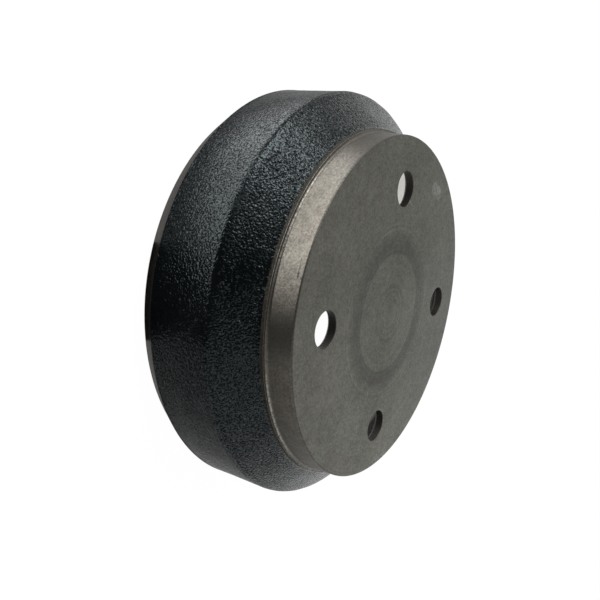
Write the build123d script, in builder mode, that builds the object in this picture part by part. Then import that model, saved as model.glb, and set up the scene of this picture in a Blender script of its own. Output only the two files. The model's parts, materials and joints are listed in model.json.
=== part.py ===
from build123d import *
import os
from math import atan2, degrees, tan

# Brake drum of a light utility vehicle, such as a golf car: one grey-iron casting, bored and turned.
# It stands on its open rim. Z is the axle line, with Z = 0 at the open rim and +Z out of the wheel face.
# All sizes are in millimetres.

# --- Friction bore, which the brake shoes press on ---
friction_diameter = 160.0      # shoe track
friction_width = 33.0          # shoe track, measured up from the open rim
bore_lead_in = 0.5             # chamfer that lets the shoes in
boring_allowance = 0.5         # iron that the boring bar took off the cast inside, on the radius

# --- Cylindrical wall and open rim ---
drum_wall = 6.0                # wall outside the shoe track
rim_land = 1.0                 # flat ring that the drum stands on
rim_taper_height = 7.9         # bare taper turned on the outside of the open rim

# --- Shoulder cone, from the cylindrical wall up to the boss ---
knee_margin = 0.7              # height of the knee corner above the end of the shoe track
knee_fillet = 3.0              # round where the wall turns into the shoulder
neck_fillet = 3.0              # hollow where the shoulder runs into the boss
neck_land = 1.8                # height of cast boss below the turned ledge, to the sharp neck corner
casting_wall = 6.5             # iron left by the cores over the shoulder, the boss and the web

# --- Boss and wheel face, turned all over ---
drum_depth = 58.0              # open rim to wheel face
face_diameter = 142.2          # flat seat of the road wheel
boss_height = 10.7             # wheel face down to the turned ledge
boss_draft = 0.35              # growth of the boss radius from the face to the ledge
ledge_width = 1.25             # step from the turned boss out to the cast boss
root_fillet = 1.0              # nose of the turning tool, left in the corner of the ledge
face_edge_break = 0.4          # chamfer round the wheel face

# --- Web: the closed end, clamped between the hub and the wheel ---
web_thickness = 4.2            # wheel face to hub seat
seat_border = 4.4              # ring of cast web left round the turned hub seat
core_corner = 3.5              # flat left between the web and the inside of the boss by the core's chamfer

# --- Stud holes ---
stud_count = 4
bolt_circle = 101.6            # four inches
stud_hole_diameter = 14.0      # clears half-inch studs
stud_hole_sink = 1.0           # countersink on the hub side, on the radius
sink_angle = 90.0              # degrees, over both sides of the countersink

# --- Radii and heights that follow from the sizes above ---
friction_radius = friction_diameter / 2
wall_radius = friction_radius + drum_wall
rim_radius = friction_radius + bore_lead_in + rim_land
face_radius = face_diameter / 2
boss_root_radius = face_radius + boss_draft
ledge_radius = boss_root_radius + ledge_width

knee_height = friction_width + knee_margin
ledge_height = drum_depth - boss_height
neck_height = ledge_height - neck_land
seat_height = drum_depth - web_thickness
core_top_height = drum_depth - casting_wall

# The shoulder leans this far from the axle line. The cored inside runs parallel to it, and its two
# corners sit lower than the outer ones by the wall times the tangent of half the lean.
shoulder_lean = atan2(wall_radius - ledge_radius, neck_height - knee_height)
corner_drop = casting_wall * tan(shoulder_lean / 2)
core_wall_radius = friction_radius - boring_allowance
core_boss_radius = ledge_radius - casting_wall
seat_radius = core_boss_radius - seat_border

# A hollow can't be larger than the land beside it lets it be.
neck_room = 0.9 * neck_land / tan(abs(shoulder_lean) / 2)
neck_hollow = min(neck_fillet, neck_room)
ledge_hollow = min(root_fillet, 0.9 * ledge_width)
core_flat = min(core_corner, 0.95 * seat_border)

with BuildPart() as brake_drum:
    # The outside, as one section turned about the axle line: rim taper, wall, shoulder cone, neck,
    # ledge, boss side and wheel face.
    with BuildSketch(Plane.XZ):
        with BuildLine():
            FilletPolyline(
                (0, 0),
                (rim_radius, 0),
                (wall_radius, rim_taper_height),
                (wall_radius, knee_height),
                (ledge_radius, neck_height),
                (ledge_radius, ledge_height),
                (boss_root_radius, ledge_height),
                (face_radius, drum_depth - face_edge_break),
                (face_radius - face_edge_break, drum_depth),
                (0, drum_depth),
                radius=[0, 0, knee_fillet, neck_hollow, 0, ledge_hollow, 0, 0],
            )
            Line((0, drum_depth), (0, 0))
        make_face()
    revolve(axis=Axis.Z)

    # The cored inside: a space for the shoes, a cone behind the shoulder and a pocket in the boss.
    with BuildSketch(Plane.XZ):
        with BuildLine():
            Polyline(
                (0, 0),
                (core_wall_radius, 0),
                (core_wall_radius, knee_height - corner_drop),
                (core_boss_radius, neck_height - corner_drop),
                (core_boss_radius, core_top_height - core_flat),
                (core_boss_radius - core_flat, core_top_height),
                (0, core_top_height),
                close=True,
            )
        make_face()
    revolve(axis=Axis.Z, mode=Mode.SUBTRACT)

    # The shoe track is bored to size and ends in a square shoulder, with a lead-in at the mouth.
    with BuildSketch(Plane.XY):
        Circle(friction_radius)
    extrude(amount=friction_width, mode=Mode.SUBTRACT)
    mouth_edge = brake_drum.edges().filter_by(GeomType.CIRCLE).group_by(Axis.Z)[0].sort_by(SortBy.RADIUS)[0]
    chamfer(mouth_edge, length=bore_lead_in)

    # The hub seat is a flat turned into the cast web.
    with BuildSketch(Plane.XY.offset(core_top_height)):
        Circle(seat_radius)
    extrude(amount=casting_wall - web_thickness, mode=Mode.SUBTRACT)

    # Stud holes, drilled through from the hub seat and countersunk there.
    with Locations(Plane(origin=(0, 0, seat_height), x_dir=(1, 0, 0), z_dir=(0, 0, -1))):
        with PolarLocations(bolt_circle / 2, stud_count):
            CounterSinkHole(
                radius=stud_hole_diameter / 2,
                counter_sink_radius=stud_hole_diameter / 2 + stud_hole_sink,
                counter_sink_angle=sink_angle,
            )

brake_drum.part.label = "brake_drum"
export_step(brake_drum.part, "parts/brake_drum.step")

iron_density = 7.2e-6          # kg per cubic millimetre
drum_size = brake_drum.part.bounding_box().size
print(f"brake drum: {drum_size.X:.1f} across, {drum_size.Z:.1f} deep, shoulder leans {degrees(shoulder_lean):.1f} degrees")
print(f"friction bore {friction_diameter:.1f}, wheel face {face_diameter:.1f}, hub seat {2 * seat_radius:.1f} across")
print(f"iron {brake_drum.part.volume * iron_density:.2f} kg")
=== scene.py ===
# %% [markdown]
# # A brake drum in cast iron
# This notebook dresses a packed brake drum for its picture. The real one is a single grey-iron
# casting: the outside keeps the rough skin of the sand mould under gloss black paint, and the
# places that have to run true are turned bright on a lathe. We build one closed surface from
# the drum's own section, add the sand grain as real shape, and then write three finishes.

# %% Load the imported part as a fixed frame
import json
import bmesh
import bpy
import numpy as np
from mathutils import Matrix, Vector


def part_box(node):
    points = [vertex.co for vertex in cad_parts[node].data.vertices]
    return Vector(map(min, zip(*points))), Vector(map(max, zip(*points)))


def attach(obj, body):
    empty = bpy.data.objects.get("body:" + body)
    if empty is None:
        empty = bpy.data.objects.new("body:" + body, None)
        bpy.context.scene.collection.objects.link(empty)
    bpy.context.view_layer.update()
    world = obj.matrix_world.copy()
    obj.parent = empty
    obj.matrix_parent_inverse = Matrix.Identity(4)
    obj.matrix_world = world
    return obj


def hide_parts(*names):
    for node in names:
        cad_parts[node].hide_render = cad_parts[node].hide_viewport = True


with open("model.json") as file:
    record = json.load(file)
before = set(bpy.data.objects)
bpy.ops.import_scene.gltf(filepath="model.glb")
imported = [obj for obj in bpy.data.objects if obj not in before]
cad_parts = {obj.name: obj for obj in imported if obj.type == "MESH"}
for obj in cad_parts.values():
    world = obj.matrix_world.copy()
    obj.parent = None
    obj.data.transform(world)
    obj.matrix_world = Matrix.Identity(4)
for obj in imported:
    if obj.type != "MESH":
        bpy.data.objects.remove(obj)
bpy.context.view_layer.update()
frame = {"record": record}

MM = 0.001               # the section is worked out in millimetres, and Blender works in metres
scene = bpy.context.scene

# %% [markdown]
# ## Sizes
# The outside sizes come from the frame's box, and the holes from the part's own mounts, so the
# picture can't drift away from the solid model. The rest of the section is a short list of
# corners: radius from the axle line, height above the open rim.

# %% Driving sizes, in millimetres
low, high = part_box("brake_drum")
wall_radius = round(high[0] / MM, 2)
depth = round(high[2] / MM, 2)
mounts = {mount["name"]: mount for mount in frame["record"]["mounts"]}
bolt_radius = mounts["stud_holes"]["dims"]["pcd_mm"] / 2
hole_radius = mounts["stud_holes"]["dims"]["hole_r_mm"]
bore_radius = mounts["friction_bore"]["dims"]["r_mm"]
seat_height = round(mounts["hub_seat"]["pos_m"][2] / MM, 2)

casting_wall = 6.5                     # iron between the outside and the cored inside
edge_break = 0.4                       # chamfer round the wheel face
hole_sink = 1.0                        # countersink on the hub side of each hole
rim_radius = bore_radius + 1.5         # outer edge of the land that the drum stands on
taper_height = 7.9                     # top of the bare taper at the rim
knee_height = 33.7                     # corner between the wall and the shoulder
neck_height = 45.5                     # corner between the shoulder and the cast boss
ledge_height = depth - 10.7            # step between the cast boss and the turned boss
face_radius = 71.1
root_radius = face_radius + 0.35       # turned boss at the ledge, a little wider than at the face
neck_radius = root_radius + 1.25       # cast boss below the ledge
track_height = 33.0                    # inner end of the shoe track
pocket_radius = neck_radius - casting_wall
pocket_height = depth - casting_wall
seat_radius = pocket_radius - 4.4      # edge of the flat that the hub sits on
print(f"wall {wall_radius}, depth {depth}, bolts on {bolt_radius}, holes {hole_radius}, bore {bore_radius}")

# %% [markdown]
# ## The camera
# A camera is a place and three directions: its right, its up, and backwards out of its lens.
# Written as the columns of a matrix they fix the view at once. The drum stands on its rim, and
# the camera is rolled over, so the wheel face looks to the right. The lens shift moves the
# picture across the film without turning the camera, as a view camera does.

# %% Place the camera
camera_place = Vector((-0.23648, 0.04888, 0.16908))
camera_right = Vector((0.52752, 0.09956, 0.84369)).normalized()
camera_down = Vector((-0.17636, -0.95864, 0.22339))
camera_forward = camera_right.cross(camera_down).normalized()
camera_up = camera_forward.cross(camera_right) * -1.0

camera_data = bpy.data.cameras.new("studio_camera")
camera_data.sensor_width = 36.0
camera_data.lens = 37.545
camera_data.shift_x = -0.04619
camera_data.shift_y = 0.10024
camera_data.clip_start = 0.01
camera = bpy.data.objects.new("studio_camera", camera_data)
turn = Matrix((camera_right, camera_up, -camera_forward)).transposed().to_4x4()
camera.matrix_world = Matrix.Translation(camera_place) @ turn
scene.collection.objects.link(camera)
scene.camera = camera
scene.view_settings.view_transform = "Standard"
print("camera looks along", tuple(round(v, 3) for v in camera_forward))

# %% [markdown]
# ## A line with rounded corners
# Every edge of a real casting or turned part is a little round, and that roundness is what
# catches the light. We could bevel the finished mesh, but a bevel can't tell a turned edge from
# a cast one. Here the section is a line whose corners each have their own radius, so one short
# list says everything.

# %% A helper that rounds the corners of a section
def run_between(start, end, longest, edge):
    """Points on a straight run: equal steps no longer than longest, and a first and last step of edge."""
    length = np.linalg.norm(end - start)
    if length < 1e-6:
        return start[None]
    if length < 4 * edge:
        along = np.array([0.0, 1.0])
    else:
        inner = np.linspace(edge, length - edge, int(np.ceil((length - 2 * edge) / longest)) + 1)
        along = np.concatenate(([0.0], inner, [length])) / length
    return start + along[:, None] * (end - start)


def rounded_line(corners, longest, edge=0.25):
    """Turns corners (radius, height, round) into points.

    A corner that turns by the angle A is cut off at round x tan(A / 2) on both sides, and an arc
    of that round joins the two cuts. Its centre lies on the line that halves the corner.
    """
    spots = np.array([corner[:2] for corner in corners], float)
    pieces, last = [], spots[0]
    for before, here, after, corner in zip(spots, spots[1:], spots[2:], corners[1:], strict=False):
        back = (before - here) / np.linalg.norm(before - here)
        ahead = (after - here) / np.linalg.norm(after - here)
        half = (np.pi - np.arccos(np.clip(back @ ahead, -1, 1))) / 2
        cut, radius = corner[2] * np.tan(half), corner[2]
        pieces.append(run_between(last, here + back * cut, longest, edge))
        if radius:
            middle = (back + ahead) / np.linalg.norm(back + ahead)
            centre = here + middle * radius / np.cos(half)
            steps = max(2, int(np.ceil(2 * half * radius / longest)), int(np.ceil(half / 0.28)))
            swing = np.linspace(-half, half, steps + 1)[:, None]
            across = ahead - middle * (ahead @ middle)
            across /= np.linalg.norm(across)
            pieces.append(centre + radius * (across * np.sin(swing) - middle * np.cos(swing)))
        last = here + ahead * cut
    pieces.append(run_between(last, spots[-1], longest, edge))
    points = np.concatenate(pieces)
    keep = np.concatenate(([True], np.linalg.norm(np.diff(points, axis=0), axis=1) > 1e-6))
    return points[keep]

# %% [markdown]
# ## Four parts of one section
# The inside runs from the hub seat, through the cast pocket and cone, down the shoe track to
# the rim and up the bare taper. The painted part is the wall, the knee, the shoulder and the
# hollow at the neck. The boss part is the ledge, the tool's round in its corner, the boss side
# and the edge of the wheel face. The hole has a short section of its own.

# %% Write the section
cone_lean = np.arctan2(wall_radius - neck_radius, neck_height - knee_height)
inner_drop = casting_wall * np.tan(cone_lean / 2)
cone_bottom = np.array([bore_radius - 0.5, knee_height - inner_drop])
cone_top = np.array([pocket_radius, neck_height - inner_drop])
share = (track_height - cone_bottom[1]) / (cone_top[1] - cone_bottom[1])
shoulder_radius = cone_bottom[0] + share * (cone_top[0] - cone_bottom[0])
core_corner = 3.5                      # chamfer that the core leaves in the corner of the pocket

inside_line = rounded_line([
    (seat_radius - 0.7, seat_height, 0),
    (seat_radius, seat_height, 0.2),
    (seat_radius, pocket_height, 0.2),
    (pocket_radius - core_corner, pocket_height, 0.3),
    (pocket_radius, pocket_height - core_corner, 2.0),
    (cone_top[0], cone_top[1], 1.5),
    (shoulder_radius, track_height, 0.3),
    (bore_radius, track_height, 0.3),
    (bore_radius, 0.5, 0.15),
    (bore_radius + 0.5, 0, 0.15),
    (rim_radius, 0, 0.2),
    (wall_radius, taper_height, 0),
], longest=6.0)
painted_line = rounded_line([
    (wall_radius, taper_height, 0),
    (wall_radius, knee_height, 3.0),
    (neck_radius, neck_height, 3.0),
    (neck_radius, neck_height + 1.5, 0),
], longest=0.6, edge=0.2)
boss_line = rounded_line([
    (neck_radius, neck_height + 1.5, 0),
    (neck_radius, ledge_height, 0.12),
    (root_radius, ledge_height, 1.0),
    (face_radius, depth - edge_break, 0.15),
    (face_radius - edge_break, depth, 0.15),
    (face_radius - 1.2, depth, 0),
], longest=5.0)
hole_line = rounded_line([
    (hole_radius + 0.5, depth, 0),
    (hole_radius, depth, 0.25),
    (hole_radius, seat_height + hole_sink, 0),
    (hole_radius + hole_sink, seat_height, 0.1),
    (hole_radius + hole_sink + 0.5, seat_height, 0),
], longest=2.0, edge=0.15)
sections = {"inside": inside_line, "painted": painted_line, "boss": boss_line, "hole": hole_line}
print("points in each section:", {name: len(line) for name, line in sections.items()})

# %% [markdown]
# ## Grain of the sand mould
# Molten iron copies the sand of its mould, and paint rounds the copy off. The grain is many
# small bumps of about one size with no direction. We start from random numbers, split them into
# waves with a Fourier transform, keep the waves near the size that we want, and add them up
# again. The pattern then closes round the drum without a seam. The relief is a few hundredths
# of a millimetre high. It is swept a little below the solid's surface, so that no bump stands
# outside the part's box.

# %% Make a random field with one size of bump
grain_random = np.random.default_rng(41)


def bumps(rows, count, row_step, ring_step, size, spread):
    """Random numbers whose waves are kept in part, and then scaled to a deviation of 1.

    The share kept of a wave is e to the power of minus ((size x frequency - 1) / spread) squared.
    """
    waves = np.hypot(np.fft.fftfreq(rows, row_step)[:, None], np.fft.fftfreq(count, ring_step)[None])
    kept = np.exp(-(((waves * size - 1) / spread) ** 2))
    field = np.fft.ifft2(np.fft.fft2(grain_random.standard_normal((rows, count))) * kept).real
    return field / field.std()


FINE, COARSE = 896, 224                # points round a painted ring and round a turned ring
row_steps = np.linalg.norm(np.diff(painted_line, axis=0), axis=1)
along = np.concatenate(([0.0], np.cumsum(row_steps)))
even_rows = 2 * len(painted_line)
middle_of_paint = 82.0                 # a radius between the wall's and the neck's
ring_step = 2 * np.pi * middle_of_paint / FINE
even_step = along[-1] / (even_rows - 1)
sand = bumps(even_rows, FINE, even_step, ring_step, size=1.7, spread=0.4)
lumps = bumps(even_rows, FINE, even_step, ring_step, size=4.0, spread=0.5)
waviness = bumps(even_rows, FINE, even_step, ring_step, size=16.0, spread=0.6)
sink = 0.12                            # keeps the tops of the bumps inside the solid's box
relief = 0.003 * sand + 0.004 * lumps + 0.03 * waviness - sink
print(f"relief from {relief.min():.3f} to {relief.max():.3f} mm over {along[-1]:.1f} mm of section")

# %% [markdown]
# ## Turn the section into a surface
# Turning is the simplest sweep there is: each point of the section goes round the axle line, so
# x = radius x cos(angle), y = radius x sin(angle), and z stays. The painted part gets four times
# as many points round as the turned part, because only it has grain to show. Where the two
# meet, a ring of small fans steps from one to the other.

# %% Helpers for rings and their faces
blocks = []                            # (points, faces, finish of each face) in the order made
TURNED, PAINTED, CAST = 0, 1, 2


def rings(line, count, raised=None):
    """Sends each (radius, height) round the axle line.

    x = radius x cos(angle) and y = radius x sin(angle). raised moves each point along the
    outward normal of the section.
    """
    slope = np.gradient(line, axis=0)
    normal = np.stack([slope[:, 1], -slope[:, 0]], 1) / np.linalg.norm(slope, axis=1)[:, None]
    angle = 2 * np.pi * np.arange(count) / count
    offset = np.zeros((len(line), count)) if raised is None else raised
    radius = line[:, :1] + normal[:, :1] * offset
    height = line[:, 1:] + normal[:, 1:] * offset
    return np.stack([radius * np.cos(angle), radius * np.sin(angle), height], -1)


def ring_faces(rows, count):
    """Four corners for each face of a grid that closes on itself: here, next, next row, row above."""
    first = np.arange(rows - 1)[:, None] * count + np.arange(count)
    second = np.arange(rows - 1)[:, None] * count + (np.arange(count) + 1) % count
    return np.stack([first, second, second + count, first + count], -1).reshape(-1, 4)


def keep(points, faces, finishes):
    """Stores one block of the surface, with one finish or a finish for each face."""
    blocks.append((points.reshape(-1, 3), faces, np.broadcast_to(finishes, len(faces))))

# %% A helper for the step between two rings
def fans(fine_ring, coarse_ring):
    """Joins four short edges to one long one with five triangles, all the way round."""
    ratio, count = len(fine_ring) // len(coarse_ring), len(coarse_ring)
    fine = (np.arange(count)[:, None] * ratio + np.arange(ratio + 1)) % len(fine_ring)
    near, far = len(fine_ring) + np.arange(count), len(fine_ring) + (np.arange(count) + 1) % count
    half = ratio // 2
    left = [np.stack([fine[:, k], fine[:, k + 1], near], 1) for k in range(half)]
    right = [np.stack([fine[:, k], fine[:, k + 1], far], 1) for k in range(half, ratio)]
    middle = [np.stack([fine[:, half], far, near], 1)]
    return np.concatenate([fine_ring, coarse_ring]), np.concatenate(left + right + middle)

# %% Sweep the painted part with its grain
placed = np.interp(along, np.arange(even_rows) * even_step, np.arange(even_rows))
lower = np.clip(placed.astype(int), 0, even_rows - 2)
part = (placed - lower)[:, None]
grain = relief[lower] * (1 - part) + relief[lower + 1] * part
FADE_IN, FADE_OUT = 0.9, 1.6           # the grain dies away beside the two turned borders
fade = np.clip(along / FADE_IN, 0, 1) * np.clip((along[-1] - along) / FADE_OUT, 0, 1)
fade = (fade * fade * (3 - 2 * fade))[:, None]
painted_rings = rings(painted_line, FINE, grain * fade)
keep(painted_rings[1:-1], ring_faces(len(painted_line) - 2, FINE), PAINTED)
HAIR = 1e-9                            # two rows this far apart give one ring its slope
for fine_row, end_row in ((1, 0), (-2, -1)):
    coarse = rings(painted_line[[end_row, end_row]] + [[0, 0], [0, HAIR]], COARSE)[0]
    keep(*fans(painted_rings[fine_row], coarse), PAINTED)
print(f"painted part: {len(blocks[0][1])} faces")

# %% Sweep the inside and the boss
inside_rings = rings(inside_line, COARSE)
row_radius, row_height = ((inside_line[1:] + inside_line[:-1]) / 2).T
cast_rows = (row_radius > seat_radius - 0.1) & (row_height > track_height + 0.1) & (row_height < seat_height - 0.1)
inside_finish = np.repeat(np.where(cast_rows, CAST, TURNED), COARSE)
keep(inside_rings, ring_faces(len(inside_line), COARSE), inside_finish)
keep(rings(boss_line, COARSE), ring_faces(len(boss_line), COARSE), TURNED)
print(f"inside and boss: {len(blocks[-2][1])} and {len(blocks[-1][1])} faces")

# %% [markdown]
# ## The web with its four holes
# A flat ring with round holes needs a mesh that is round at each hole and round at the rim. We
# take a quarter of the web at a time. Its border is the outer arc, two straight sides and an
# inner arc; from each point of the border a straight line runs to the edge of the hole, and
# points along those lines make a grid that is round on one side and fits its neighbours on the
# other. A plain disc closes the middle.

# %% Helpers for a quarter of the web
SIDE, INNER = 18, 20                   # border steps along a straight side and along the inner arc
ARC = COARSE // 4
border_count = ARC + 2 * SIDE + INNER
around_hole = 2 * np.pi * np.arange(border_count) / border_count - np.pi / 2
hole_circle = np.stack([np.cos(around_hole), np.sin(around_hole)], 1)
middle_radius = 26.0
blend = np.array([0.0, 0.12, 0.32, 0.62, 1.0])[:, None, None]


def quarter_border(outer):
    """The outer arc from -45 to 45 degrees, in along one side, back round the inner arc, and out again."""
    quarter = np.pi / 4
    arc = np.linspace(-quarter, quarter, ARC + 1)[:-1]
    inner = np.linspace(quarter, -quarter, INNER + 1)[:-1]
    side = np.linspace(middle_radius, outer, SIDE + 1)
    radius = np.concatenate([np.full(ARC, outer), side[:0:-1], np.full(INNER, middle_radius), side[:-1]])
    angle = np.concatenate([arc, np.full(SIDE, quarter), inner, np.full(SIDE, -quarter)])
    return np.stack([radius * np.cos(angle), radius * np.sin(angle)], 1)


def web(outer, hole_edge, height):
    """point = (1 - t) x hole edge + t x border, for t from 0 to 1, at one height."""
    edge = hole_circle * hole_edge + [bolt_radius, 0]
    flat = (1 - blend) * edge + blend * quarter_border(outer)
    return np.concatenate([flat, np.full(flat.shape[:2] + (1,), height)], -1)

# %% Make the two sides of the web and the walls of the holes
hole_wall = np.concatenate([
    hole_line[:, None, :1] * hole_circle + [bolt_radius, 0],
    np.broadcast_to(hole_line[:, None, 1:], (len(hole_line), border_count, 1)),
], -1)
face_side = web(boss_line[-1, 0], hole_line[0, 0], depth)
hub_side = web(inside_line[0, 0], hole_line[-1, 0], seat_height)
quarter_turn = np.array([[0, -1], [1, 0]])
for grid in (face_side, hub_side, hole_wall):
    for turns in range(4):
        spun = grid.copy()
        spun[..., :2] = grid[..., :2] @ np.linalg.matrix_power(quarter_turn, turns).T
        keep(spun, ring_faces(len(grid), border_count), TURNED)
print(f"web: {border_count} lines to a hole, {len(hole_line)} rings down each hole")

# %% Close the middle of the web
def middle_disc(height):
    """Rings of points at a few radii, and one point in the middle that a fan of triangles closes."""
    spokes = 4 * INNER
    angle = 2 * np.pi * np.arange(spokes) / spokes
    radius = np.array([middle_radius, 18.0, 11.0, 5.0, 1.5])[:, None]
    rows = len(radius)
    flat = [radius * np.cos(angle), radius * np.sin(angle), np.full((rows, spokes), height)]
    last = (rows - 1) * spokes + np.arange(spokes)
    centre = np.stack([last, np.roll(last, -1), np.full(spokes, rows * spokes)], 1)
    points = np.concatenate([np.stack(flat, -1).reshape(-1, 3), [[0, 0, height]]])
    return points, ring_faces(rows, spokes), centre


for height in (depth, seat_height):
    points, around, centre = middle_disc(height)
    keep(points, around, TURNED)
    keep(points, centre, TURNED)
print(f"middle discs: {len(around) + len(centre)} faces each")

# %% [markdown]
# ## One closed mesh
# The blocks share their border points, so merging points that lie on each other welds the whole
# drum into one skin. Blender can then turn every face outwards by itself, and the enclosed
# volume says whether it worked.

# %% Weld the blocks into the drum
points, faces, finishes, start = [], [], [], 0
for block_points, block_faces, block_finish in blocks:
    points.append(block_points)
    faces += (block_faces + start).tolist()
    finishes.append(block_finish)
    start += len(block_points)

mesh = bpy.data.meshes.new("drum_casting")
mesh.from_pydata(np.concatenate(points) * MM, [], faces)
mesh.polygons.foreach_set("material_index", np.concatenate(finishes).astype(np.int32))
mesh.polygons.foreach_set("use_smooth", np.ones(len(faces), bool))
welded = bmesh.new()
welded.from_mesh(mesh)
SAME_PLACE = 0.002 * MM
bmesh.ops.remove_doubles(welded, verts=welded.verts, dist=SAME_PLACE)
bmesh.ops.recalc_face_normals(welded, faces=welded.faces)
open_edges = sum(not edge.is_manifold for edge in welded.edges)
volume = welded.calc_volume(signed=True)
welded.to_mesh(mesh)
welded.free()
SHARP = 38                             # degrees between two faces that are shaded apart
mesh.set_sharp_from_angle(angle=np.radians(SHARP))
drum = bpy.data.objects.new("drum_casting", mesh)
scene.collection.objects.link(drum)
triangles = sum(len(face.vertices) - 2 for face in mesh.polygons)
print(f"drum: {triangles} triangles, {open_edges} open edges, {volume / MM ** 3:.0f} cubic mm")

# %% [markdown]
# ## Short words for shader nodes
# A finish is a small network of nodes. Writing each one by hand takes many lines, so a few
# helpers add a node, fill or link its inputs, and give back what comes out of it.

# %% Helpers that add and join nodes
def node(tree, kind, inputs=(), out=0, **settings):
    """Adds a node, fills or links inputs given as (name or number, value), and returns one output."""
    made = tree.nodes.new(kind)
    for name, value in settings.items():
        setattr(made, name, value)
    for name, value in inputs:
        if isinstance(value, bpy.types.NodeSocket):
            tree.links.new(value, made.inputs[name])
        else:
            made.inputs[name].default_value = value
    return made.outputs[out]


def join(tree, value, socket):
    """Links what comes out of one node to a socket of another."""
    tree.links.new(value, socket)


def finish(name):
    """A new material with only its Principled shader, and where its patterns read their place from."""
    material = bpy.data.materials.new(name)
    material.use_nodes = True
    tree = material.node_tree
    shader = tree.nodes["Principled BSDF"]
    place = node(tree, "ShaderNodeTexCoord", out="Object")
    return material, tree, shader, place

# %% Helpers that work on numbers
def maths(tree, operation, first, second=0.0, third=0.0):
    """One step of arithmetic on numbers."""
    return node(tree, "ShaderNodeMath", [(0, first), (1, second), (2, third)], operation=operation)


def product(tree, first, *others):
    """All the shares multiplied: 1 only where every one of them is 1."""
    for other in others:
        first = maths(tree, "MULTIPLY", first, other)
    return first


def varied(tree, value, pattern, amount):
    """value + (pattern - 0.5) x amount, so that a pattern round 0.5 lowers and raises it by turns."""
    return maths(tree, "MULTIPLY_ADD", maths(tree, "SUBTRACT", pattern, 0.5), amount, value)


def between(tree, value, start, end, low=0.0, high=1.0):
    """Runs smoothly from low to high while value goes from start to end."""
    ends = [("From Min", start), ("From Max", end), ("To Min", low), ("To Max", high)]
    return node(tree, "ShaderNodeMapRange", [("Value", value), *ends], interpolation_type="SMOOTHSTEP")


def band(tree, value, start, full, fading, end):
    """0 up to start, 1 from full to fading, and 0 again from end on."""
    return product(tree, between(tree, value, start, full), between(tree, value, end, fading))

# %% Helpers for clouds, colours, distances and streaks
def noise(tree, place, per_metre, detail=2.0, rough=0.5):
    """Blender's noise: soft random clouds, about per_metre of them to the metre."""
    settings = [("Scale", per_metre), ("Detail", detail), ("Roughness", rough)]
    return node(tree, "ShaderNodeTexNoise", [("Vector", place), *settings])


def blended(tree, share, first, second):
    """A colour between two: first where share is 0, second where it is 1."""
    mixed = tree.nodes.new("ShaderNodeMix")
    mixed.data_type = "RGBA"
    for socket, value in ((mixed.inputs[0], share), (mixed.inputs[6], first), (mixed.inputs[7], second)):
        if isinstance(value, bpy.types.NodeSocket):
            tree.links.new(value, socket)
        else:
            socket.default_value = value if isinstance(value, float) else (*value, 1.0)
    return mixed.outputs[2]


def vector(tree, operation, first, second=(0, 0, 0), out=0):
    """One step of arithmetic on places."""
    return node(tree, "ShaderNodeVectorMath", [(0, first), (1, second)], out=out, operation=operation)


def streak(tree, place, start, end, width):
    """1 close to the line from start to end, all in millimetres, and 0 farther off than width.

    The nearest point of the line is start + share x reach, where share is the dot product of
    the way from start and reach / length^2, kept between 0 and 1.
    """
    start, end = Vector(start) * MM, Vector(end) * MM
    reach = end - start
    from_start = vector(tree, "SUBTRACT", place, start)
    share = vector(tree, "DOT_PRODUCT", from_start, reach / reach.length_squared, out="Value")
    share = node(tree, "ShaderNodeClamp", [("Value", share)])
    nearest = node(tree, "ShaderNodeVectorMath", [(0, reach), ("Scale", share)], operation="SCALE")
    away = vector(tree, "DISTANCE", from_start, nearest, out="Value")
    return between(tree, away, width * MM, width * MM * 0.5)

# %% [markdown]
# ## Turned iron
# A lathe leaves fine rings: grooves a fraction of a millimetre apart that run round the axle
# line on every surface, flat or round. Adding radius and height gives one number that changes
# across the grooves on all of them, so a single pattern of that number serves the whole part.
# The iron is metal, so it shows its colour only in what it mirrors, and the grooves spread that
# mirror image across themselves.

# %% Lay the patterns of the turned iron
turned_iron, tree, shader, place = finish("turned_iron")
FACE, SEAT, LEDGE = depth * MM, seat_height * MM, ledge_height * MM    # nodes read places in metres
TRACK, TAPER = track_height * MM, taper_height * MM
BORE, BOLTS, EDGE = bore_radius * MM, bolt_radius * MM, face_radius * MM
split = tree.nodes.new("ShaderNodeSeparateXYZ")
join(tree, place, split.inputs[0])
x, y, height = split.outputs
flat_place = node(tree, "ShaderNodeCombineXYZ", [(0, x), (1, y)])
radius = vector(tree, "LENGTH", flat_place, out="Value")
across = maths(tree, "ADD", radius, height)
cloud = noise(tree, place, 45.0, 4.0, 0.6)
mottle = noise(tree, place, 260.0, 3.0, 0.6)
speck = noise(tree, place, 1300.0, 2.0, 0.6)
wander = maths(tree, "MULTIPLY_ADD", noise(tree, place, 25.0, 1.0), 0.0006, across)
ring_place = node(tree, "ShaderNodeCombineXYZ", [(0, wander)])
broad_rings = noise(tree, ring_place, 420.0, 3.0, 0.6)
fine_rings = noise(tree, ring_place, 2600.0, 1.0, 0.5)
print("patterns laid:", len(tree.nodes), "nodes")

# %% [markdown]
# The flat face isn't one even grey. The rings of the lathe show more towards the middle, and
# there is a broad darker ring with a fine pale line on each side of it. Each mark is a share from
# 0 to 1 that raises or lowers one number, shade, and shade runs from dark iron to pale iron. The
# face is a little darker and greener than the side of the boss.

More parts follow.
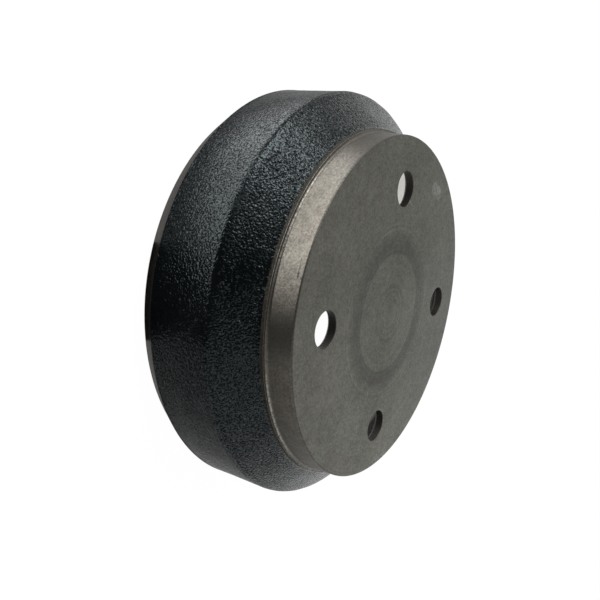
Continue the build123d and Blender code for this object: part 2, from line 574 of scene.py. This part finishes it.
# %% Mix the shade of the turned iron
on_face = between(tree, height, FACE - 0.0005, FACE - 0.0001)
shade = varied(tree, 0.5, cloud, 0.6)
shade = varied(tree, shade, mottle, 0.55)
ring_strength = between(tree, radius, 0.030, 0.048, 0.80, 0.45)
for pattern, amount in ((broad_rings, ring_strength), (fine_rings, 0.4), (speck, 1.25)):
    shade = varied(tree, shade, pattern, amount)
thin_ring = band(tree, radius, 0.0246, 0.0250, 0.0252, 0.0256)
outer_ring = band(tree, radius, 0.0348, 0.0353, 0.0356, 0.0362)
pale_rings = maths(tree, "MAXIMUM", thin_ring, outer_ring)
pale_rings = product(tree, pale_rings, between(tree, cloud, 0.40, 0.55), on_face)
worn_ring = product(tree, band(tree, radius, 0.0235, 0.0262, 0.0305, 0.0345), on_face)
middle_ring = band(tree, radius, 0.0075, 0.0095, 0.0105, 0.0130)
for ring, lift in ((pale_rings, 0.16), (worn_ring, -0.27), (middle_ring, -0.05)):
    shade = maths(tree, "MULTIPLY_ADD", ring, lift, shade)
dark_boss, dark_face = (0.060, 0.0545, 0.0475), (0.048, 0.047, 0.0403)
pale_boss, pale_face = (0.155, 0.1445, 0.1245), (0.119, 0.117, 0.098)
dark_iron = blended(tree, on_face, dark_boss, dark_face)
pale_iron = blended(tree, on_face, pale_boss, pale_face)
iron_colour = blended(tree, shade, dark_iron, pale_iron)
print("shade mixed:", len(tree.nodes), "nodes")

# %% [markdown]
# The shoes polish their track bright. The chamfer round the face is painted darker, more on one
# side than on the other: painted shade that holds back a highlight there. In the corner of the
# ledge, short bright glints are painted into the tool's round on one side: a painted highlight.
# They are laid over the iron's colour one after the other, as a painter would.

# %% Brighten the shoe track, paint glints on the root, and paint shade on the edge
in_track = product(
    tree, between(tree, height, TRACK + 0.0001, TRACK - 0.0001),
    between(tree, radius, BORE + 0.0006, BORE + 0.0004))
polished_iron = (0.66, 0.65, 0.62)
iron_colour = blended(tree, in_track, iron_colour, polished_iron)
# painted shade: the chamfer round the face is darkened, more towards +y, to hold back its highlight
shaded_edge = product(
    tree, between(tree, radius, EDGE - 0.0006, EDGE - 0.0004),
    between(tree, height, FACE - 0.0006, FACE - 0.0004), between(tree, y, 0.030, 0.066, 0.2, 0.75))
edge_shade_colour = (0.05, 0.048, 0.043)
iron_colour = blended(tree, shaded_edge, iron_colour, edge_shade_colour)
at_root = product(
    tree, between(tree, height, LEDGE + 0.0006, LEDGE + 0.0004), between(tree, radius, 0.0722, 0.0720),
    between(tree, height, LEDGE - 0.0001, LEDGE))
# painted highlight: bright glints in the root's round on one side only, broken up by noise
root_glints = product(
    tree, between(tree, maths(tree, "ABSOLUTE", y), 0.010, 0.022), between(tree, x, -0.045, -0.058),
    between(tree, noise(tree, place, 1200.0, 2.0, 0.6), 0.38, 0.60, 0.05, 0.62))
glint_colour = (0.36, 0.35, 0.32)
iron_colour = blended(tree, product(tree, at_root, root_glints), iron_colour, glint_colour)
print("edges done:", len(tree.nodes), "nodes")

# %% [markdown]
# Handling leaves single marks: a few nicks in the side of the boss, a pale smudge and a scratch
# on the face, and a faint brown stain low down. Each is a short streak, broken up by noise.

# %% Add nicks, scuffs and a stain
nicks = streak(tree, place, (-68.0, 20.9, 55.8), (-68.3, 19.7, 55.9), 0.50)
nicks = maths(tree, "MAXIMUM", nicks, streak(tree, place, (-66.4, 25.7, 55.5), (-68.0, 20.9, 55.8), 0.16))
nicks = maths(tree, "MAXIMUM", nicks, streak(tree, place, (-68.4, 19.8, 57.0), (-68.5, 19.2, 57.4), 0.30))
nick_colour, scuff_colour, stain_colour = (0.03, 0.028, 0.026), (0.28, 0.275, 0.26), (0.055, 0.040, 0.025)
iron_colour = blended(tree, product(tree, nicks, 0.8), iron_colour, nick_colour)
smudge = streak(tree, place, (29.5, 52.5, 58.0), (34.5, 50.6, 58.0), 3.6)
smudge = product(tree, smudge, between(tree, noise(tree, place, 700.0, 3.0, 0.7), 0.30, 0.70), 0.9)
scratch = streak(tree, place, (2.8, 48.7, 58.0), (8.1, 44.5, 58.0), 0.22)
scuffs = maths(tree, "MAXIMUM", smudge, scratch)
iron_colour = blended(tree, product(tree, scuffs, 0.58), iron_colour, scuff_colour)
stain = streak(tree, place, (-24.0, -62.5, 58.0), (-39.0, -56.0, 58.0), 7.0)
stain = product(tree, stain, between(tree, mottle, 0.35, 0.65), 0.35)
iron_colour = blended(tree, stain, iron_colour, stain_colour)
print("marks added:", len(tree.nodes), "nodes")

# %% [markdown]
# Dirt settles where nothing rubs: on the flat of the ledge, and thinly on the taper at the rim.
# The walls of the stud holes are darker, and darker still on one side of each hole, which is
# painted shade; the round at the root of the ledge is darkened on one side, also painted shade.
# Folding the drum into one quarter lets two distances serve all four holes. Where this colour
# goes, the share of metal drops, so it also takes some shine away.

# %% Find the dirty places and the painted shade
folded = vector(tree, "ABSOLUTE", flat_place)
to_x_hole = vector(tree, "DISTANCE", folded, (BOLTS, 0, 0), out="Value")
to_y_hole = vector(tree, "DISTANCE", folded, (0, BOLTS, 0), out="Value")
to_hole = maths(tree, "MINIMUM", to_x_hole, to_y_hole)
half_pitch = BOLTS / 2
side_of_hole = maths(tree, "WRAP", y, half_pitch, -half_pitch)
sink_edge = (hole_radius + hole_sink) * MM
# the stud hole walls are darker; the share rising towards one side of each hole is painted shade
hole_darkening = product(
    tree, between(tree, to_hole, sink_edge + 0.0003, sink_edge + 0.0001),
    band(tree, height, SEAT - 0.0001, SEAT + 0.0001, FACE - 0.0004, FACE),
    between(tree, side_of_hole, -0.0050, -0.0010, 0.86, 1.0))
ledge_edge = varied(tree, radius, noise(tree, place, 500.0, 3.0, 0.6), 0.0008)
on_ledge = product(
    tree, between(tree, height, LEDGE + 0.0002, LEDGE + 0.00005),
    between(tree, ledge_edge, 0.0719, 0.0723), between(tree, radius, 0.0760, 0.0755),
    between(tree, noise(tree, place, 1100.0, 2.0, 0.6), 0.38, 0.62, 0.10, 0.80))
on_taper = product(
    tree, between(tree, height, TAPER + 0.0001, TAPER - 0.0001),
    between(tree, radius, BORE + 0.0006, BORE + 0.0008), between(tree, height, 0.0040, 0.0075, 0.33, 0.50))
# painted shade: the round at the root of the ledge is darkened towards +y
shaded_root = product(tree, at_root, between(tree, y, 0.048, 0.060, 0.0, 0.5))
dirt_and_shade = maths(tree, "MAXIMUM", hole_darkening, on_ledge)
dirt_and_shade = maths(tree, "MAXIMUM", dirt_and_shade, on_taper)
dirt_and_shade = maths(tree, "MAXIMUM", dirt_and_shade, shaded_root)
dust_and_shade_colour, hole_wall_colour = (0.035, 0.030, 0.025), (0.020, 0.018, 0.016)
dirt_and_shade_colour = blended(tree, hole_darkening, dust_and_shade_colour, hole_wall_colour)
print("dirt placed:", len(tree.nodes), "nodes")

# %% Fill the sockets of the turned iron
join(tree, blended(tree, dirt_and_shade, iron_colour, dirt_and_shade_colour), shader.inputs["Base Color"])
rough = maths(tree, "MULTIPLY_ADD", on_face, 0.08, between(tree, shade, 0.1, 0.9, 0.46, 0.34))
join(tree, maths(tree, "MULTIPLY_ADD", dirt_and_shade, 0.15, rough), shader.inputs["Roughness"])
join(tree, maths(tree, "MULTIPLY_ADD", dirt_and_shade, -0.4, 1.0), shader.inputs["Metallic"])
shader.inputs["Anisotropic"].default_value = 0.25
join(tree, node(tree, "ShaderNodeTangent", direction_type="RADIAL", axis="Z"), shader.inputs["Tangent"])
groove_height = maths(tree, "ADD", fine_rings, maths(tree, "MULTIPLY", broad_rings, 0.8))
groove_height = maths(tree, "MULTIPLY_ADD", speck, 1.2, groove_height)
GROOVE = 0.06 * MM                     # depth of the lathe's grooves
grooves = node(tree, "ShaderNodeBump", [("Strength", 0.5), ("Distance", GROOVE), ("Height", groove_height)])
join(tree, grooves, shader.inputs["Normal"])
print("turned iron:", len(tree.nodes), "nodes")

# %% [markdown]
# ## Gloss black paint over the cast skin
# The paint is a thick, glossy film: nearly black by itself, and as bright as the studio where
# it mirrors a lamp. At the neck the lathe has cut back to the ledge, and a narrow strip of bare
# brown skin shows beyond a ragged edge. A thinner one shows above the taper of the rim. Noise
# added to the height makes the edge of the paint ragged.

# %% Colour the paint and the bare strips
painted_casting, tree, shader, place = finish("painted_casting")
split = tree.nodes.new("ShaderNodeSeparateXYZ")
join(tree, place, split.inputs[0])
height = split.outputs[2]
ragged = noise(tree, place, 700.0, 3.0, 0.65)
drift = noise(tree, place, 60.0, 2.0, 0.5)
neck_edge = varied(tree, varied(tree, height, ragged, 0.0011), drift, 0.0006)
bare_neck = between(tree, neck_edge, 0.04570, 0.04585)
bare_rim = between(tree, varied(tree, height, ragged, 0.0005), TAPER + 0.00015, TAPER)
bare = maths(tree, "MAXIMUM", bare_neck, bare_rim)
skin = noise(tree, place, 320.0, 4.0, 0.65)
brown = blended(tree, skin, (0.007, 0.006, 0.004), (0.046, 0.037, 0.029))
black = blended(tree, drift, (0.0016, 0.0022, 0.0026), (0.0040, 0.0050, 0.0056))
join(tree, blended(tree, bare, black, brown), shader.inputs["Base Color"])
join(tree, between(tree, bare, 0.0, 1.0, 0.0, 0.35), shader.inputs["Metallic"])
paint_rough = between(tree, drift, 0.3, 0.7, 0.12, 0.18)
SKIN_ROUGH = 0.6
rough = node(tree, "ShaderNodeMix", [("Factor", bare), ("A", paint_rough), ("B", SKIN_ROUGH)], data_type="FLOAT")
join(tree, rough, shader.inputs["Roughness"])
print("paint coloured:", len(tree.nodes), "nodes")

# %% [markdown]
# The mesh has the larger bumps of the casting. The finest grain, about a millimetre across, is a
# bump in the shader, because it is too small for the mesh: round domes from a Voronoi pattern,
# each lowered towards its edge, with a finer pebble over them. The shine varies with the pebble
# too, and that is what makes the grain sparkle. The paint runs smoother over the knee.

# %% Give the paint its shine and its grain
shader.inputs["IOR"].default_value = 1.5
shader.inputs["Specular Tint"].default_value = (0.82, 0.97, 1.0, 1.0)
pebble = noise(tree, place, 1700.0, 1.0, 0.5)
LEAST_SHINE, MOST_SHINE = 0.04, 0.36
shader.inputs["Specular IOR Level"].default_value = (LEAST_SHINE + MOST_SHINE) / 2
shine = between(tree, pebble, 0.36, 0.64, LEAST_SHINE, MOST_SHINE)
join(tree, shine, shader.inputs["Specular IOR Level"])
domes = node(
    tree, "ShaderNodeTexVoronoi", [("Vector", place), ("Scale", 1250.0), ("Smoothness", 0.5)],
    out="Distance", feature="SMOOTH_F1")
tall = between(tree, noise(tree, place, 900.0, 1.0), 0.35, 0.65, 0.5, 1.6)
domes = product(tree, maths(tree, "POWER", domes, 2.0), tall)
grain_height = maths(tree, "MULTIPLY_ADD", domes, -1.4, maths(tree, "MULTIPLY", pebble, 0.5))
KNEE = 0.0343                          # height of the middle of the knee's round, in metres
from_knee = maths(tree, "ABSOLUTE", maths(tree, "SUBTRACT", height, KNEE))
depth_of_grain = product(
    tree, between(tree, noise(tree, place, 70.0, 1.0), 0.35, 0.65, 0.75, 1.25),
    between(tree, from_knee, 0.0003, 0.0016, 0.5, 1.0))
grain_height = product(tree, grain_height, depth_of_grain)
grain_height = maths(tree, "MULTIPLY_ADD", bare, -0.25, grain_height)
GRAIN = 0.14 * MM                      # height of the grain
grain_bump = node(tree, "ShaderNodeBump", [("Strength", 1.0), ("Distance", GRAIN), ("Height", grain_height)])
join(tree, grain_bump, shader.inputs["Normal"])
print("painted casting:", len(tree.nodes), "nodes")

# %% [markdown]
# ## Bare cast skin inside
# The pocket behind the boss and the cone behind the shoulder are neither turned nor painted.
# They keep the dark grey-brown skin of the mould.

# %% Build the bare cast skin
cast_skin, tree, shader, place = finish("cast_skin")
clouds = noise(tree, place, 90.0, 4.0, 0.6)
join(tree, blended(tree, clouds, (0.026, 0.023, 0.020), (0.085, 0.076, 0.066)), shader.inputs["Base Color"])
shader.inputs["Metallic"].default_value = 0.3
shader.inputs["Roughness"].default_value = 0.65
sand_height = noise(tree, place, 700.0, 3.0, 0.6)
SAND = 0.3 * MM                        # height of the sand's print
sand_bump = node(tree, "ShaderNodeBump", [("Strength", 0.9), ("Distance", SAND), ("Height", sand_height)])
join(tree, sand_bump, shader.inputs["Normal"])
print("cast skin:", len(tree.nodes), "nodes")

# %% Put the three finishes on the mesh
for material in (turned_iron, painted_casting, cast_skin):
    mesh.materials.append(material)
print("finishes on the drum:", [material.name for material in mesh.materials])

# %% [markdown]
# ## Studio
# The floor and the room are white to the camera and to everything that mirrors them. The soft
# light that falls on the drum is a separate matter, and stays at a plain level. Light Path tells
# the kinds of ray apart, so one material can be a white picture to some rays and a lit surface
# to the others. The floor keeps a small share of its own shading, so the drum's shadow stays
# on it.

# %% Make the room white
def sees_background(tree):
    """1 for camera, mirror and see-through rays, and 0 for the rays that carry soft light."""
    path = tree.nodes.new("ShaderNodeLightPath")
    seen = maths(tree, "MAXIMUM", path.outputs["Is Camera Ray"], path.outputs["Is Glossy Ray"])
    return maths(tree, "MAXIMUM", seen, path.outputs["Is Transmission Ray"])


world = bpy.data.worlds.new("studio_room")
scene.world = world
world.use_nodes = True
tree = world.node_tree
SOFT_LIGHT = 0.5                       # strength of the room's light on the drum
strength = between(tree, sees_background(tree), 0.0, 1.0, SOFT_LIGHT, 1.0)
join(tree, strength, tree.nodes["Background"].inputs["Strength"])
tree.nodes["Background"].inputs["Color"].default_value = (1.0, 1.0, 1.0, 1.0)
print("room:", len(tree.nodes), "nodes")

# %% Lay the floor
FLOOR_EDGE, FLOOR_HEIGHT = 4.0, -0.0001    # metres
signs = ((-1, -1), (1, -1), (1, 1), (-1, 1))
floor_corners = [(FLOOR_EDGE * x_sign, FLOOR_EDGE * y_sign, FLOOR_HEIGHT) for x_sign, y_sign in signs]
floor_mesh = bpy.data.meshes.new("studio_floor")
floor_mesh.from_pydata(floor_corners, [], [(0, 1, 2, 3)])
floor = bpy.data.objects.new("studio_floor", floor_mesh)
scene.collection.objects.link(floor)

pale_floor, tree, shader, place = finish("pale_floor")
tree.nodes.remove(shader)
OWN_SHADING = 0.05                     # the share of the floor that shows the drum's shadow
FLOOR_WHITE = 1.03                     # a little over white, to make up for that share
white_share = maths(tree, "MULTIPLY", sees_background(tree), 1.0 - OWN_SHADING)
lit = node(tree, "ShaderNodeBsdfDiffuse", [("Color", (0.9, 0.9, 0.9, 1.0))])
glow = node(tree, "ShaderNodeEmission", [("Strength", FLOOR_WHITE)])
mixed = node(tree, "ShaderNodeMixShader", [(0, white_share), (1, lit), (2, glow)])
join(tree, mixed, tree.nodes["Material Output"].inputs["Surface"])
pale_floor.cycles.emission_sampling = "NONE"
floor_mesh.materials.append(pale_floor)
print("floor:", len(tree.nodes), "nodes")

# %% [markdown]
# ## Dark cards
# Gloss black looks black only if it has something dark to mirror. All in white, it turns an even
# grey and its edges wash out. The way round this in a real studio is a black cloth behind and
# over the camera, a black strip on the table from there to the part, and a grey mat round its
# foot. Ours are three thin sheets that only mirrors see, so they take no light from the drum.

# %% A helper that hangs one card
def hang_card(name, turn, reach, height, tone=0.0):
    """A sheet on a grid: x = reach x cos(turn), y = reach x sin(turn), and z = height.

    A tone of 0 is black and 1 is white. Only rays that mirror something see the sheet.
    """
    rows, count = turn.shape
    first = np.arange(rows - 1)[:, None] * count + np.arange(count - 1)
    faces = np.stack([first, first + 1, first + 1 + count, first + count], -1).reshape(-1, 4)
    points = np.stack([reach * np.cos(turn), reach * np.sin(turn), height], -1).reshape(-1, 3)
    sheet = bpy.data.meshes.new(name)
    sheet.from_pydata(points, [], faces.tolist())
    card = bpy.data.objects.new(name, sheet)
    scene.collection.objects.link(card)
    card.visible_camera = card.visible_diffuse = card.visible_transmission = card.visible_shadow = False
    paper, tree, shader, place = finish(name)
    shader.inputs["Base Color"].default_value = (0.0, 0.0, 0.0, 1.0)
    shader.inputs["Specular IOR Level"].default_value = 0.0
    shader.inputs["Emission Color"].default_value = (1.0, 1.0, 1.0, 1.0)
    shader.inputs["Emission Strength"].default_value = tone
    paper.cycles.emission_sampling = "NONE"
    sheet.materials.append(paper)
    print(f"{name}: {len(faces)} faces, tone {tone}")

# %% Hang the black cloth and lay the strip and the mat
CARD_REACH = 0.9                       # metres from the axle line to the far edge of the cards
FOOT, MAT_EDGE = 0.0816, 0.175         # metres, from just outside the rim to the edge of the mat
STRIP_HEIGHT, MAT_HEIGHT = 0.0006, 0.0003    # metres above the floor
turn, lift = np.meshgrid(np.radians(np.linspace(138, 200, 20)), np.radians(np.linspace(0.5, 88, 20)))
hang_card("black_cloth", turn, CARD_REACH * np.cos(lift), CARD_REACH * np.sin(lift))

STRIP_TURN = 175                       # compass angle of the strip's middle line, in degrees
across, out = np.meshgrid(np.linspace(-1, 1, 12), np.linspace(FOOT, CARD_REACH, 80))
widening = np.clip((out - 0.115) / 0.025, 0, 1)
half_width = np.where(across < 0, 12 + 3 * widening, 13 + 10 * widening)
turn = np.radians(STRIP_TURN + across * half_width)
hang_card("black_strip", turn, out, np.full_like(out, STRIP_HEIGHT))

turn, out = np.meshgrid(np.radians(np.linspace(0, 360, 91)), np.linspace(FOOT, MAT_EDGE, 6))
hang_card("grey_mat", turn, out, np.full_like(out, MAT_HEIGHT), tone=0.4)

# %% [markdown]
# Four soft lamps finish the studio: a broad key over the drum's far shoulder, whose reflection
# makes the grain sparkle, a weak one on the other side to open the shadows, a low one for the
# line along the knee, and a board of light that lies on the floor and faces up, for the wall
# and the side of the boss.

# %% Hang the lamps
def softbox(name, place, target, width, power):
    """A square area lamp at place that faces target. It lights the drum and isn't seen by the camera."""
    lamp = bpy.data.lights.new(name, "AREA")
    lamp.shape, lamp.size, lamp.energy = "SQUARE", width, power
    holder = bpy.data.objects.new(name, lamp)
    holder.location = place
    holder.rotation_euler = (Vector(target) - Vector(place)).to_track_quat("-Z", "Y").to_euler()
    holder.visible_camera = False
    scene.collection.objects.link(holder)
    return holder


middle_of_drum = (0, 0, 0.03)
softbox("key_softbox", (-0.04, 0.58, 0.38), middle_of_drum, width=0.34, power=2.6)
softbox("low_softbox", (0.45, -0.42, 0.42), middle_of_drum, width=0.45, power=0.4)
softbox("knee_softbox", (-0.34, 0.64, 0.07), (0, 0, 0.034), width=0.16, power=0.6)
board_place = (-0.131, 0.148, 0.003)
board = softbox("floor_board", board_place, (*board_place[:2], 1.0), width=0.20, power=0.45)
board.rotation_euler = (np.pi, 0, np.radians(41))    # face up, with one side along the wall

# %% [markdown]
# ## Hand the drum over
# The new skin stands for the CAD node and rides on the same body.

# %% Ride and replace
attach(drum, "root")
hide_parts("brake_drum")
